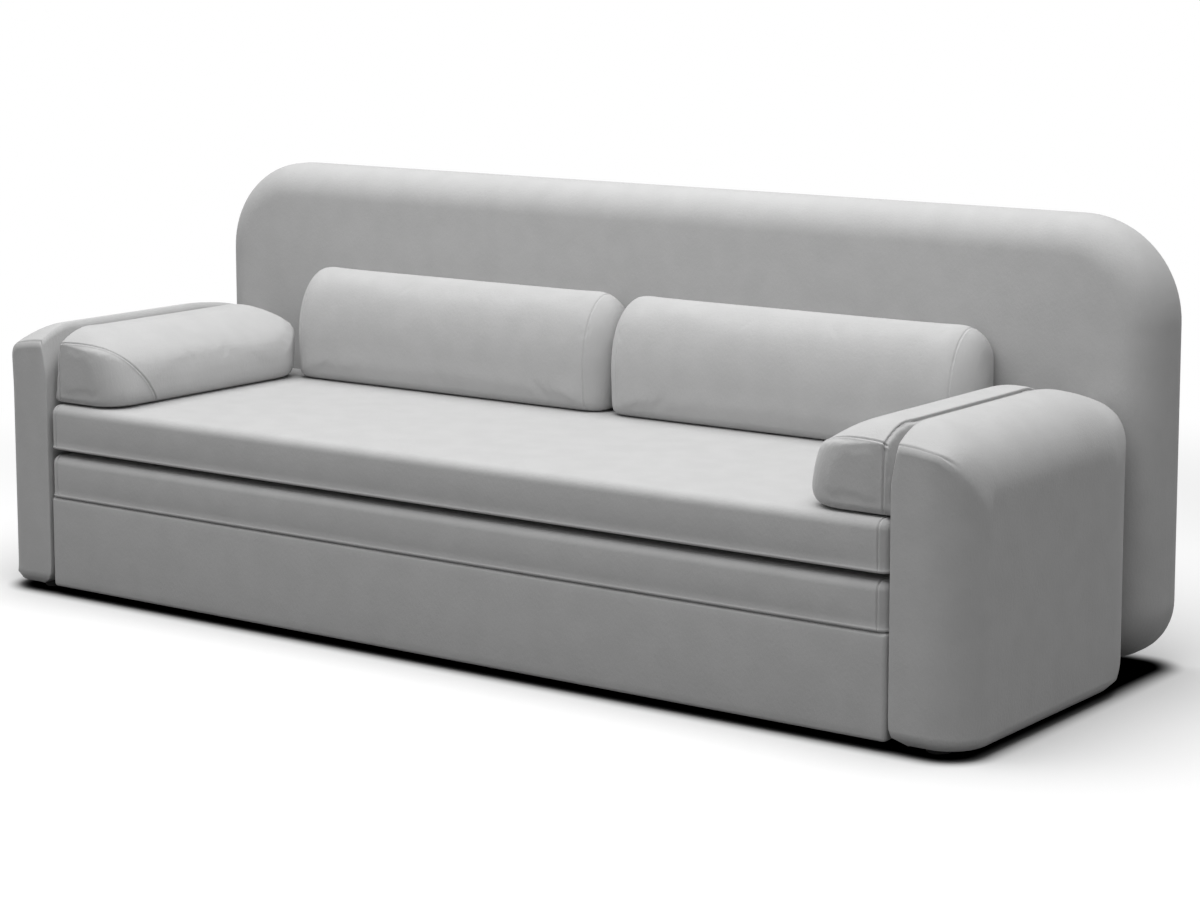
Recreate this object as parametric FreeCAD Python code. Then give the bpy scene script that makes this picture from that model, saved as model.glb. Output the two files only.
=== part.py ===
import FreeCAD, Part
import math
import os

# A sleeper sofa: a fixed upholstered seat between two padded arms and a tall padded back, with a
# bed that rolls out from under the seat on castors, and four loose bolsters.
# Millimetres. X runs from left to right as seen from the front, Y from front to back, Z up.
# The origin is on the floor, in the middle of the footprint.

Vector = FreeCAD.Vector
ALONG_X = Vector(1, 0, 0)
ALONG_Y = Vector(0, 1, 0)
ALONG_Z = Vector(0, 0, 1)
FLAT = 1e-6

# The whole sofa
bed_length = 1996.0
side_gap = 6.0
arm_thickness = 146.0
seat_depth = 680.0
back_thickness = 167.0
floor_gap = 18.0
front_panel_height = 187.0
mattress_thickness = 91.0
running_gap = 9.0
seat_thickness = 95.0
arm_height = 558.0
back_height = 846.0
frame_lift = 6.0
hole_clearance = 0.1

# Back
back_top_radius = 195.0
back_bottom_radius = 110.0
back_edge_radius = 70.0
back_foam = 20.0
back_side_foam = 90.0
back_top_foam = 91.0
back_board = 3.0
back_frame_depth = 100.0
post_width = 30.0
back_post_count = 5

# Arms: the cover's section, its dip towards both ends, and its rounded corners
arm_top_lean = 13.0
arm_lean_height = 70.0
arm_shoulder_drop = 100.0
arm_shoulder_radius = 62.0
arm_shoulder_turn = 50.0
arm_end_shoulder_radius = 34.0
arm_end_shoulder_turn = 60.0
arm_end_drop = 32.0
arm_end_length = 90.0
arm_front_radius = 80.0
arm_rear_radius = 139.0
arm_inner_bottom_radius = 30.0
arm_outer_bottom_radius = 8.0
arm_front_bottom_radius = 10.0
arm_rear_bottom_radius = 45.0

# Arms: padding over the boards, and the boards
arm_cover = 4.0
arm_outer_foam = 32.0
arm_front_foam = 30.0
arm_rear_foam = 60.0
arm_top_foam = 100.0
arm_board = 15.0

# Bolts from the arms into the back
arm_bolt_radius = 4.0
arm_bolt_head_radius = 8.0
arm_bolt_head_height = 6.0
arm_bolt_grip = 40.0
arm_bolt_count = 3
spacer_radius = 9.0
nut_radius = 6.0
nut_length = 24.0

# Floor glides
glide_radius = 25.0
glide_taper = 4.0
glide_inset = 70.0

# Seat
seat_front_radius = 20.0
seat_crown = 3.0
seat_cover = 12.0
seat_rail = 30.0
seat_rail_wall = 2.0
seat_bay_count = 3
slats_per_bay = 6
seat_slat_width = 53.0
seat_slat_thickness = 8.0
holder_length = 24.0
holder_wall = 3.0
slat_fit = 0.2

# Flat cushions: the seat and the mattress
cushion_foot_radius = 7.0
cushion_end_radius = 10.0
cushion_bulge = 3.0

# Screws
screw_radius = 2.5
screw_head_radius = 4.5
screw_head_depth = 2.2
screw_length = 18.0
pan_head_height = 2.0

# Angles that carry the seat, and guide rails, both on the arms
angle_thickness = 4.0
angle_width = 62.0
angle_height = 40.0
angle_end_gap = 40.0
angle_screw_count = 4
guide_rail_wall = 2.0
guide_rail_width = 22.0
guide_rail_middle = 118.0
guide_rail_screw_count = 4
stop_gap = 0.5

# Pull out bed
front_foam = 16.0
front_board = 18.0
front_panel_margin = 14.0
front_panel_radius = 12.0
front_edge_radius = 6.0
front_rim_radius = 5.0
bed_side_inset = 22.0
bed_board = 18.0
bed_bottom = 71.0
bed_rear_gap = 12.0
bed_slat_count = 14
bed_slat_width = 90.0
bed_slat_thickness = 16.0
ledger_width = 26.0
mid_beam_width = 30.0
mid_beam_height = 40.0
bearer_width = 90.0
bearer_thickness = 30.0
bearer_inset = 100.0
bed_screw_length = 36.0
mattress_edge_radius = 12.0
mattress_crown = 3.0
mattress_rear_gap = 15.0
buffer_radius = 12.0
buffer_gap = 0.6
buffer_inset = 300.0

# Castors
wheel_radius = 30.0
wheel_width = 24.0
wheel_recess = 5.0
wheel_hub_radius = 11.0
wheel_rim_radius = 23.0
wheel_edge_radius = 4.0
axle_radius = 4.0
running_fit = 0.05
castor_setback = 60.0
fork_wall = 3.0
fork_gap = 1.0
fork_width = 22.0
fork_foot_radius = 10.0
fork_plate = 60.0
fork_plate_thickness = 3.0
fork_screw_offset = 21.0

# Guide rollers on the bed's rear corners
roller_radius = 12.0
roller_width = 10.0
roller_edge_radius = 1.0
roller_clearance = 0.5
roller_pin_radius = 3.0
roller_setback = 14.0
bracket_size = 44.0
bracket_edge = 8.0
bracket_thickness = 3.0

# Back bolsters: the section's points from its front and its underside, and the rounds of its ends
bolster_gap = 1.0
rest_gap = 0.5
back_bolster_height = 239.0
back_bolster_depth = 127.0
back_bolster_end = 160.0
bolster_toe_inset = 4.0
bolster_foot_radius = 25.0
bolster_heel_radius = 15.0
bolster_belly_height = 80.0
bolster_chest_inset = 6.0
bolster_chest_height = 134.0
bolster_brow_inset = 33.0
bolster_brow_height = 206.0
bolster_peak_inset = 81.0
bolster_nape_inset = 117.0
bolster_nape_height = 225.0
bolster_rear_height = 191.0
bolster_top_round = 60.0
bolster_front_round = 58.0
bolster_rear_round = 28.0
bolster_bottom_round = 24.0

# Arm bolsters
arm_bolster_width = 190.0
arm_bolster_height = 158.0
arm_bolster_gap = 4.0
arm_bolster_setback = 12.0
arm_bolster_length = 588.0
arm_bolster_front_radius = 60.0
arm_bolster_rear_radius = 85.0
arm_bolster_lean = 18.0
arm_bolster_lean_height = 70.0
arm_bolster_side_height = 45.0
arm_bolster_side_radius = 75.0
arm_bolster_side_turn = 50.0
arm_bolster_end_side_radius = 50.0
arm_bolster_end_side_turn = 62.0
arm_bolster_end_drop = 34.0
arm_bolster_end_length = 90.0
arm_bolster_foot_radius = 18.0

# Places worked out from the sizes above
half_bed = bed_length / 2
arm_inner = half_bed + side_gap
arm_outer = arm_inner + arm_thickness
front = -(seat_depth + back_thickness) / 2
back_front = front + seat_depth
back_rear = back_front + back_thickness
mattress_bottom = floor_gap + front_panel_height
mattress_top = mattress_bottom + mattress_thickness
seat_bottom = mattress_top + running_gap
seat_top = seat_bottom + seat_thickness
frame_bottom = floor_gap + frame_lift
arm_frame_top = arm_height - arm_top_foam
arm_frame_front = front + arm_front_foam
arm_frame_rear = back_front - arm_rear_foam
arm_frame_inner = arm_inner + arm_cover
arm_frame_outer = arm_outer - arm_outer_foam
back_frame_side = arm_outer - back_side_foam
back_frame_top = back_height - back_top_foam
back_frame_front = back_front + back_foam + back_board
back_frame_rear = back_frame_front + back_frame_depth
bed_frame_front = front + front_foam + front_board
bed_frame_rear = back_front - bed_rear_gap
bed_side = half_bed - bed_side_inset
bed_inner = bed_side - bed_board
bed_frame_top = mattress_bottom - bed_slat_thickness
bed_middle = (bed_frame_front + bed_frame_rear) / 2
bearer_top = bed_bottom + bearer_thickness
beam_bottom = bed_frame_top - mid_beam_height
seat_frame_side = half_bed - seat_cover
seat_frame_front = front + seat_cover + cushion_bulge
seat_frame_rear = back_front - seat_cover
seat_frame_top = seat_bottom + seat_rail
seat_well_front = seat_frame_front + seat_rail
seat_well_rear = seat_frame_rear - seat_rail
guide_rail_front = bed_frame_front + stop_gap
guide_rail_half = roller_radius + roller_clearance + guide_rail_wall
roller_middle = Vector(
    arm_inner - guide_rail_wall - pan_head_height - stop_gap - roller_width / 2,
    bed_frame_rear - roller_setback,
    guide_rail_middle,
)
roller_stopped = guide_rail_front + guide_rail_wall + stop_gap + roller_radius
bed_travel = roller_middle.y - roller_stopped


def box(x0, x1, y0, y1, z0, z1):
    return Part.makeBox(x1 - x0, y1 - y0, z1 - z0, Vector(x0, y0, z0))


def mirrored(shape):
    return shape.mirror(Vector(0, 0, 0), ALONG_X)


def both_sides(shapes):
    """The right side's shapes and their mirror images on the left."""
    return shapes + [mirrored(shape) for shape in shapes]


def evenly(low, high, count):
    """Centres of count equal shares of the length from low to high."""
    share = (high - low) / count
    return [low + share * (i + 0.5) for i in range(count)]


def blended(middle, end, share):
    return middle + (end - middle) * share


def line(start, end):
    return Part.LineSegment(start, end).toShape()


def arc(start, middle, end):
    return Part.Arc(start, middle, end).toShape()


def corner_arc(start, corner, end):
    """A quarter turn from start to end that bulges towards corner."""
    towards_middle = (start + end) * 0.5 - corner
    return arc(start, corner + towards_middle * (2 - math.sqrt(2)), end)


def tangent_arc(start, direction, end):
    """The arc that leaves start along direction and reaches end."""
    chord = end - start
    bend = direction.getAngle(chord)
    side = direction - chord * (direction.dot(chord) / chord.Length**2)
    sagitta = chord.Length / 2 * math.tan(bend / 2)
    return arc(start, start + chord * 0.5 + side.normalize() * sagitta, end)


def rounded_wire(corners, radii, place):
    """A closed outline of straight sides and tangent arcs, with one radius for each corner."""
    bends = []
    for i, spot in enumerate(corners):
        corner = Vector(*spot, 0)
        before = (Vector(*corners[i - 1], 0) - corner).normalize()
        after = (Vector(*corners[(i + 1) % len(corners)], 0) - corner).normalize()
        half_angle = before.getAngle(after) / 2
        reach = radii[i] / math.tan(half_angle)
        depth = radii[i] / math.sin(half_angle) - radii[i]
        inward = (before + after).normalize()
        points = (corner + before * reach, corner + inward * depth, corner + after * reach)
        bends.append([place(point) for point in points])
    edges = []
    for i, (start, middle, end) in enumerate(bends):
        following = bends[(i + 1) % len(bends)][0]
        if radii[i] > 0:
            edges.append(arc(start, middle, end))
        if (following - end).Length > FLAT:
            edges.append(line(end, following))
    return Part.Wire(edges)


def plan_plate(corners, radii, z0, z1):
    wire = rounded_wire(corners, radii, lambda p: Vector(p.x, p.y, z0))
    return Part.Face(wire).extrude(ALONG_Z * (z1 - z0))


def side_plate(corners, radii, x0, x1):
    wire = rounded_wire(corners, radii, lambda p: Vector(x0, p.x, p.y))
    return Part.Face(wire).extrude(ALONG_X * (x1 - x0))


def front_plate(corners, radii, y0, y1):
    wire = rounded_wire(corners, radii, lambda p: Vector(p.x, y0, p.y))
    return Part.Face(wire).extrude(ALONG_Y * (y1 - y0))


def rod(start, direction, radius, length):
    return Part.makeCylinder(radius, length, start, direction)


def sleeve(start, direction, outer_radius, bore_radius, length):
    return rod(start, direction, outer_radius, length).cut(rod(start, direction, bore_radius, length))


def countersunk_screw(head, direction, length, clearance=0.0):
    """A screw whose head's flat face is at head and whose shank runs along direction."""
    cone = Part.makeCone(
        screw_head_radius + clearance, screw_radius + clearance, screw_head_depth, head, direction
    )
    return cone.fuse(rod(head, direction, screw_radius + clearance, length + clearance))


def countersunk_hole(head, direction, length):
    return countersunk_screw(head, direction, length, hole_clearance)


def pan_screw(seat, direction, length):
    """A screw whose head rests on seat and whose shank runs along direction."""
    head = rod(seat - direction * pan_head_height, direction, screw_head_radius, pan_head_height)
    return head.fuse(rod(seat, direction, screw_radius, length))


def pan_hole(seat, direction, length):
    return rod(seat, direction, screw_radius + hole_clearance, length + hole_clearance)


def round_inset(distance, radius):
    """How far inside its edge a surface rounded with radius lies, at a distance from its end."""
    if distance >= radius:
        return 0.0
    return radius - math.sqrt(radius**2 - (radius - distance) ** 2)


def padded_section(y, outer, inner, bottom, top, lean, lean_height, feet, shoulder):
    """A section that rises from a rounded outer shoulder to a sharp top edge at its inner side.

    lean is how far the top edge leans away from the inner side, over lean_height below it.
    feet are the radii of the outer and inner bottom corners. shoulder is the height where the
    shoulder's round starts, its radius, and its turn in degrees.
    """
    height, radius, turn = shoulder
    outer_foot, inner_foot = feet
    towards = 1 if inner > outer else -1
    angle = math.radians(turn)

    def on_shoulder(share):
        across = radius * (1 - math.cos(angle * share))
        return Vector(outer + towards * across, y, height + radius * math.sin(angle * share))

    heading = Vector(towards * math.sin(angle), 0, math.cos(angle))
    peak = Vector(inner - towards * lean, y, top)
    upright = Vector(inner, y, top - lean_height)
    inner_low = Vector(inner, y, bottom + inner_foot)
    inner_floor = Vector(inner - towards * inner_foot, y, bottom)
    outer_floor = Vector(outer + towards * outer_foot, y, bottom)
    outer_low = Vector(outer, y, bottom + outer_foot)
    return Part.Wire(
        [
            arc(on_shoulder(0), on_shoulder(0.5), on_shoulder(1)),
            tangent_arc(on_shoulder(1), heading, peak),
            tangent_arc(upright, ALONG_Z, peak),
            line(upright, inner_low),
            corner_arc(inner_low, Vector(inner, y, bottom), inner_floor),
            line(inner_floor, outer_floor),
            corner_arc(outer_floor, Vector(outer, y, bottom), outer_low),
            line(outer_low, on_shoulder(0)),
        ]
    )


def padded_form(y0, y1, end_length, section_at):
    """A loft of sections from front to back. section_at takes y and how far it is into an end,
    from 0 along the middle to 1 at the very end."""
    steps = (1.0, 0.75, 0.45, 0.0)
    places = [(y0 + end_length * (1 - step), step**2) for step in steps]
    places += [(y1 - end_length * (1 - step), step**2) for step in reversed(steps)]
    return Part.makeLoft([section_at(y, share) for y, share in places], True, True)


def cushion_section(x, y0, y1, z0, z1, top_radius, crown):
    """A section across a flat cushion: bulged front, rounded edges and a crowned top."""
    face = y0 + cushion_bulge
    foot = cushion_foot_radius
    edge = z1 - crown
    bulge = Vector(x, y0, (z0 + foot + edge - top_radius) / 2)
    front_low = Vector(x, face, z0 + foot)
    front_high = Vector(x, face, edge - top_radius)
    top_front = Vector(x, face + top_radius, edge)
    top_rear = Vector(x, y1 - top_radius, edge)
    rear_high = Vector(x, y1, edge - top_radius)
    rear_low = Vector(x, y1, z0 + foot)
    bottom_rear = Vector(x, y1 - foot, z0)
    bottom_front = Vector(x, face + foot, z0)
    return Part.Wire(
        [
            arc(front_low, bulge, front_high),
            corner_arc(front_high, Vector(x, face, edge), top_front),
            arc(top_front, Vector(x, (face + y1) / 2, z1), top_rear),
            corner_arc(top_rear, Vector(x, y1, edge), rear_high),
            line(rear_high, rear_low),
            corner_arc(rear_low, Vector(x, y1, z0), bottom_rear),
            line(bottom_rear, bottom_front),
            corner_arc(bottom_front, Vector(x, face, z0), front_low),
        ]
    )


def flat_cushion(y0, y1, z0, z1, top_radius, crown):
    """A cushion as long as the bed, with rounded ends and a crown that grows to its middle."""
    crown_length = bed_length / 4
    steps = [(0.0, 0.1), (cushion_end_radius * 0.3, 0.1), (cushion_end_radius, 0.1), (crown_length, 1.0)]
    places = [(-half_bed + distance, distance, share) for distance, share in steps]
    places += [(half_bed - distance, distance, share) for distance, share in reversed(steps)]
    sections = []
    for x, distance, share in places:
        inset = round_inset(distance, cushion_end_radius)
        low_inset = round_inset(distance, cushion_foot_radius)
        swell = crown * share
        top = z1 - crown + swell - inset
        sections.append(
            cushion_section(x, y0 + inset, y1 - inset, z0 + low_inset, top, top_radius, swell)
        )
    return Part.makeLoft(sections, True, True)


def seat_angle_screws():
    """Screws of the right seat angle: one row into the arm, and one up into the side rail."""
    rail_middle = seat_frame_side - seat_rail / 2
    arm_row_height = seat_bottom + angle_height / 2 - angle_thickness
    screws = []
    for y in evenly(front + angle_end_gap, back_front - angle_end_gap, angle_screw_count):
        screws.append((Vector(arm_inner - angle_thickness, y, arm_row_height), ALONG_X))
        screws.append((Vector(rail_middle, y, seat_bottom - angle_thickness), ALONG_Z))
    return screws


def seat_angle_holes():
    return [countersunk_hole(*screw, screw_length) for screw in seat_angle_screws()]


def guide_rail_screws():
    web = arm_inner - guide_rail_wall
    places = evenly(guide_rail_front, back_front, guide_rail_screw_count)
    return [(Vector(web, y, guide_rail_middle), ALONG_X) for y in places]


def guide_rail_holes():
    return [pan_hole(*screw, screw_length) for screw in guide_rail_screws()]


def arm_bolt_starts():
    """Where the bolts' heads rest on the inside of the right arm's rear board."""
    middle = back_frame_side - post_width / 2
    lowest = frame_bottom + arm_rear_bottom_radius
    heights = evenly(lowest, arm_frame_top - arm_board, arm_bolt_count)
    return [Vector(middle, arm_frame_rear - arm_board, z) for z in heights]


def arm_bolt_length():
    return back_frame_front - (arm_frame_rear - arm_board) + arm_bolt_grip


def arm_bolt_bores(radius):
    length = arm_bolt_length() + hole_clearance
    return [rod(start, ALONG_Y, radius, length) for start in arm_bolt_starts()]


def loose_bolt_bores():
    return arm_bolt_bores(arm_bolt_radius + hole_clearance)


def arm_section(y, share):
    shoulder = (
        arm_height - arm_shoulder_drop,
        blended(arm_shoulder_radius, arm_end_shoulder_radius, share),
        blended(arm_shoulder_turn, arm_end_shoulder_turn, share),
    )
    feet = (arm_outer_bottom_radius, arm_inner_bottom_radius)
    top = arm_height - arm_end_drop * share
    return padded_section(
        y, arm_outer, arm_inner, floor_gap, top, arm_top_lean, arm_lean_height, feet, shoulder
    )


def arm_side_board(x0, x1):
    return box(x0, x1, arm_frame_front, arm_frame_rear, frame_bottom, arm_frame_top)


def arm_upholstery():
    padding = padded_form(front, back_front, arm_end_length, arm_section)
    plan = plan_plate(
        [(arm_inner, front), (arm_outer, front), (arm_outer, back_front), (arm_inner, back_front)],
        [0, arm_front_radius, arm_rear_radius, 0],
        floor_gap,
        arm_height,
    )
    side = side_plate(
        [(front, floor_gap), (back_front, floor_gap), (back_front, arm_height), (front, arm_height)],
        [arm_front_bottom_radius, arm_rear_bottom_radius, 0, 0],
        arm_inner,
        arm_outer,
    )
    sides = (arm_frame_inner, arm_frame_outer, arm_frame_front, arm_frame_rear)
    hollow = box(*sides, 0, arm_frame_top)
    holes = seat_angle_holes() + guide_rail_holes() + arm_bolt_bores(spacer_radius)
    return padding.common(plan).common(side).cut([hollow] + holes)


def arm_inner_board():
    board = arm_side_board(arm_frame_inner, arm_frame_inner + arm_board)
    return board.cut(seat_angle_holes() + guide_rail_holes())


def arm_outer_board():
    return arm_side_board(arm_frame_outer - arm_board, arm_frame_outer)


def arm_end_boards():
    x0 = arm_frame_inner + arm_board
    x1 = arm_frame_outer - arm_board
    y0 = arm_frame_front
    y1 = arm_frame_rear - arm_board
    front_end = box(x0, x1, y0, y0 + arm_board, frame_bottom, arm_frame_top)
    rear_end = box(x0, x1, y1, arm_frame_rear, frame_bottom, arm_frame_top)
    return [front_end, rear_end.cut(loose_bolt_bores())]


def arm_rails():
    x0 = arm_frame_inner + arm_board
    x1 = arm_frame_outer - arm_board
    y0 = arm_frame_front + arm_board
    y1 = arm_frame_rear - arm_board
    top = box(x0, x1, y0, y1, arm_frame_top - arm_board, arm_frame_top)
    bottom = box(x0, x1, y0, y1, frame_bottom, frame_bottom + arm_board)
    return [top, bottom]


def arm_bolts():
    bolts = []
    for start in arm_bolt_starts():
        head_start = start - ALONG_Y * arm_bolt_head_height
        head = rod(head_start, ALONG_Y, arm_bolt_head_radius, arm_bolt_head_height)
        bolts.append(head.fuse(rod(start, ALONG_Y, arm_bolt_radius, arm_bolt_length())))
    return bolts


def arm_bolt_spacers():
    """Tubes between the arm's frame and the back's frame, so that no bolt crushes the foam."""
    length = back_front + back_foam - arm_frame_rear
    bore = arm_bolt_radius + hole_clearance
    starts = [Vector(start.x, arm_frame_rear, start.z) for start in arm_bolt_starts()]
    return [sleeve(start, ALONG_Y, spacer_radius, bore, length) for start in starts]


def arm_bolt_nuts():
    """Sleeve nuts let into the back's outer posts."""
    bore = arm_bolt_radius + hole_clearance
    starts = [Vector(start.x, back_frame_front, start.z) for start in arm_bolt_starts()]
    return [sleeve(start, ALONG_Y, nut_radius, bore, nut_length) for start in starts]


def back_upholstery():
    corners = [
        (-arm_outer, floor_gap),
        (arm_outer, floor_gap),
        (arm_outer, back_height),
        (-arm_outer, back_height),
    ]
    radii = [back_bottom_radius, back_bottom_radius, back_top_radius, back_top_radius]
    slab = front_plate(corners, radii, back_front, back_rear)
    rims = [edge for edge in slab.Edges if edge.BoundBox.YLength < FLAT]
    side = back_frame_side
    board_front = back_front + back_foam
    board_rear = back_frame_rear + back_board
    hollow = box(-side, side, board_front, board_rear, 0, back_frame_top)
    return slab.makeFillet(back_edge_radius, rims).cut([hollow] + both_sides(arm_bolt_bores(spacer_radius)))


def back_front_board():
    side = back_frame_side
    y0 = back_front + back_foam
    board = box(-side, side, y0, back_frame_front, frame_bottom, back_frame_top)
    return board.cut(both_sides(loose_bolt_bores()))


def back_rear_board():
    side = back_frame_side
    y1 = back_frame_rear + back_board
    return box(-side, side, back_frame_rear, y1, frame_bottom, back_frame_top)


def back_rails():
    ends = (-back_frame_side, back_frame_side, back_frame_front, back_frame_rear)
    top = box(*ends, back_frame_top - post_width, back_frame_top)
    bottom = box(*ends, frame_bottom, frame_bottom + post_width)
    return [top, bottom]


def back_posts():
    outer = back_frame_side - post_width / 2
    pitch = 2 * outer / (back_post_count - 1)
    nut_bores = [
        rod(Vector(start.x, back_frame_front, start.z), ALONG_Y, nut_radius, nut_length)
        for start in arm_bolt_starts()
    ]
    bores = both_sides(nut_bores + loose_bolt_bores())
    posts = []
    for i in range(back_post_count):
        x0 = -outer + pitch * i - post_width / 2
        post = box(
            x0,
            x0 + post_width,
            back_frame_front,
            back_frame_rear,
            frame_bottom + post_width,
            back_frame_top - post_width,
        )
        posts.append(post.cut(bores))
    return posts


def floor_glides():
    """Glides under the right half of the sofa: two on the arm and two on the back."""
    arm_middle = (arm_frame_inner + arm_frame_outer) / 2
    back_middle = (back_frame_front + back_frame_rear) / 2
    places = [
        (arm_middle, front + glide_inset),
        (arm_middle, arm_frame_rear - glide_inset),
        (back_frame_side - glide_inset, back_middle),
        (back_frame_side / 3, back_middle),
    ]
    foot = glide_radius - glide_taper
    return [
        Part.makeCone(foot, glide_radius, frame_bottom, Vector(x, y, 0), ALONG_Z) for x, y in places
    ]


def seat_upholstery():
    pad = flat_cushion(front, back_front, seat_bottom, seat_top, seat_front_radius, seat_crown)
    side = seat_frame_side
    hollow = box(-side, side, seat_frame_front, seat_frame_rear, 0, seat_frame_top)
    return pad.cut(hollow)


def square_tube(x0, x1, y0, y1, ends):
    """A tube of the seat's frame. ends is how far its bore runs at each end, along X and along Y."""
    wall_x, wall_y = ends
    z0 = seat_bottom
    z1 = seat_frame_top
    wall = seat_rail_wall
    bore = box(x0 + wall_x, x1 - wall_x, y0 + wall_y, y1 - wall_y, z0 + wall, z1 - wall)
    return box(x0, x1, y0, y1, z0, z1).cut(bore)


def seat_long_rails():
    """The tubes along the front and the rear of the seat."""
    x1 = seat_frame_side
    starts = (seat_frame_front, seat_well_rear)
    return [square_tube(-x1, x1, y0, y0 + seat_rail, (0, seat_rail_wall)) for y0 in starts]


def seat_side_rail():
    x0 = seat_frame_side - seat_rail
    tube = square_tube(x0, seat_frame_side, seat_well_front, seat_well_rear, (seat_rail_wall, 0))
    return tube.cut(seat_angle_holes())


def seat_bays():
    """Left and right limits of each bay between the tubes that run from front to back."""
    left = -seat_frame_side + seat_rail
    clear_width = 2 * (seat_frame_side - seat_rail) - (seat_bay_count - 1) * seat_rail
    bay = clear_width / seat_bay_count
    starts = [left + i * (bay + seat_rail) for i in range(seat_bay_count)]
    return [(start, start + bay) for start in starts]


def seat_cross_rails():
    walls = (seat_rail_wall, 0)
    return [
        square_tube(right, right + seat_rail, seat_well_front, seat_well_rear, walls)
        for _, right in seat_bays()[:-1]
    ]


def seat_slat_middles():
    middles = []
    for left, right in seat_bays():
        middles += evenly(left, right, slats_per_bay)
    return middles


def seat_slats():
    y0 = seat_well_front + holder_wall + slat_fit
    y1 = seat_well_rear - holder_wall - slat_fit
    top = seat_frame_top - holder_wall
    half = seat_slat_width / 2
    return [
        box(middle - half, middle + half, y0, y1, top - seat_slat_thickness, top)
        for middle in seat_slat_middles()
    ]


def seat_slat_holders():
    """Shoes that hold the slats' ends on the inner faces of the front and rear tubes."""
    top = seat_frame_top
    bottom = top - seat_slat_thickness - 2 * holder_wall
    pocket_half = seat_slat_width / 2 + slat_fit
    half = seat_slat_width / 2 + holder_wall
    holders = []
    for middle in seat_slat_middles():
        pocket = box(
            middle - pocket_half,
            middle + pocket_half,
            seat_well_front + holder_wall,
            seat_well_rear - holder_wall,
            bottom + holder_wall - slat_fit,
            top - holder_wall + slat_fit,
        )
        for y0 in (seat_well_front, seat_well_rear - holder_length):
            shoe = box(middle - half, middle + half, y0, y0 + holder_length, bottom, top)
            holders.append(shoe.cut(pocket))
    return holders


def seat_angle():
    y0 = front + angle_end_gap
    y1 = back_front - angle_end_gap
    bottom = seat_bottom - angle_thickness
    foot = box(arm_inner - angle_width, arm_inner, y0, y1, bottom, seat_bottom)
    upright = box(arm_inner - angle_thickness, arm_inner, y0, y1, bottom, bottom + angle_height)
    return foot.fuse(upright).removeSplitter().cut(seat_angle_holes())


def guide_rail():
    """A channel on the arm that the bed's rear roller runs in, closed at its front as a stop."""
    x0 = arm_inner - guide_rail_width
    wall = guide_rail_wall
    z0 = guide_rail_middle - guide_rail_half
    z1 = guide_rail_middle + guide_rail_half
    channel = box(x0, arm_inner, guide_rail_front, back_front, z0, z1)
    groove = box(x0, arm_inner - wall, guide_rail_front + wall, back_front, z0 + wall, z1 - wall)
    return channel.cut([groove] + guide_rail_holes())


def castor_columns():
    outer = bed_inner - bearer_inset
    return {"left": -outer, "middle": 0.0, "right": outer}


def castor_places():
    rows = {
        "front": bed_frame_front + castor_setback,
        "rear": bed_frame_rear - bed_board - castor_setback,
    }
    return {
        row + "_" + column: Vector(x, y, wheel_radius)
        for row, y in rows.items()
        for column, x in castor_columns().items()
    }


def slat_middles():
    return evenly(-bed_side, bed_side, bed_slat_count)


def side_board_screws():
    """Screws into the right side board's ends, and through it into the beams' ends."""
    middle = bed_side - bed_board / 2
    screws = []
    for z in evenly(bearer_top, bed_frame_top, 2):
        screws.append((Vector(middle, bed_frame_rear, z), -ALONG_Y))
        screws.append((Vector(middle, front + front_foam, z), ALONG_Y))
    beam_height = (beam_bottom + bed_frame_top) / 2
    for y in (bed_frame_front + ledger_width / 2, bed_middle):
        screws.append((Vector(bed_side, y, beam_height), -ALONG_X))
    return screws


def bearer_screws():
    """Screws through the front and rear boards into the ends of the castor bearers."""
    height = (bed_bottom + bearer_top) / 2
    screws = []
    for x in castor_columns().values():
        screws.append((Vector(x, bed_frame_rear, height), -ALONG_Y))
        screws.append((Vector(x, front + front_foam, height), ALONG_Y))
    return screws


def slat_screws():
    """Screws down through each slat into the ledger, the middle beam and the rear board."""
    rows = (bed_frame_front + ledger_width / 2, bed_middle, bed_frame_rear - bed_board / 2)
    return [(Vector(x, y, mattress_bottom), -ALONG_Z) for x in slat_middles() for y in rows]


def bed_screws_and_holes(make):
    sides = both_sides([make(*screw, bed_screw_length) for screw in side_board_screws()])
    others = [make(*screw, bed_screw_length) for screw in bearer_screws() + slat_screws()]
    return sides + others


def with_bed_holes(board):
    return board.cut(bed_screws_and_holes(countersunk_hole))


def bed_front_board_space():
    return box(
        -half_bed + front_panel_margin,
        half_bed - front_panel_margin,
        front + front_foam,
        bed_frame_front,
        floor_gap + front_panel_margin,
        mattress_bottom - front_panel_margin,
    )


def bed_front_upholstery():
    corners = [
        (-half_bed, floor_gap),
        (half_bed, floor_gap),
        (half_bed, mattress_bottom),
        (-half_bed, mattress_bottom),
    ]
    radii = [front_panel_radius, front_panel_radius, front_edge_radius, front_edge_radius]
    panel = front_plate(corners, radii, front, bed_frame_front)
    rim = [edge for edge in panel.Edges if edge.BoundBox.YMax < front + FLAT]
    return panel.makeFillet(front_rim_radius, rim).cut(bed_front_board_space())


def bed_front_board():
    return with_bed_holes(bed_front_board_space())


def bed_side_board():
    x0 = bed_inner
    y1 = bed_frame_rear - bed_board
    board = box(x0, bed_side, bed_frame_front, y1, bed_bottom, bed_frame_top)
    return with_bed_holes(board).cut(roller_bracket_holes())


def bed_rear_board():
    y0 = bed_frame_rear - bed_board
    return with_bed_holes(box(-bed_side, bed_side, y0, bed_frame_rear, bed_bottom, bed_frame_top))


def bed_ledger():
    """The strip behind the front board that the slats' front ends rest on."""
    y0 = bed_frame_front
    return with_bed_holes(box(-bed_inner, bed_inner, y0, y0 + ledger_width, beam_bottom, bed_frame_top))


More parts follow.
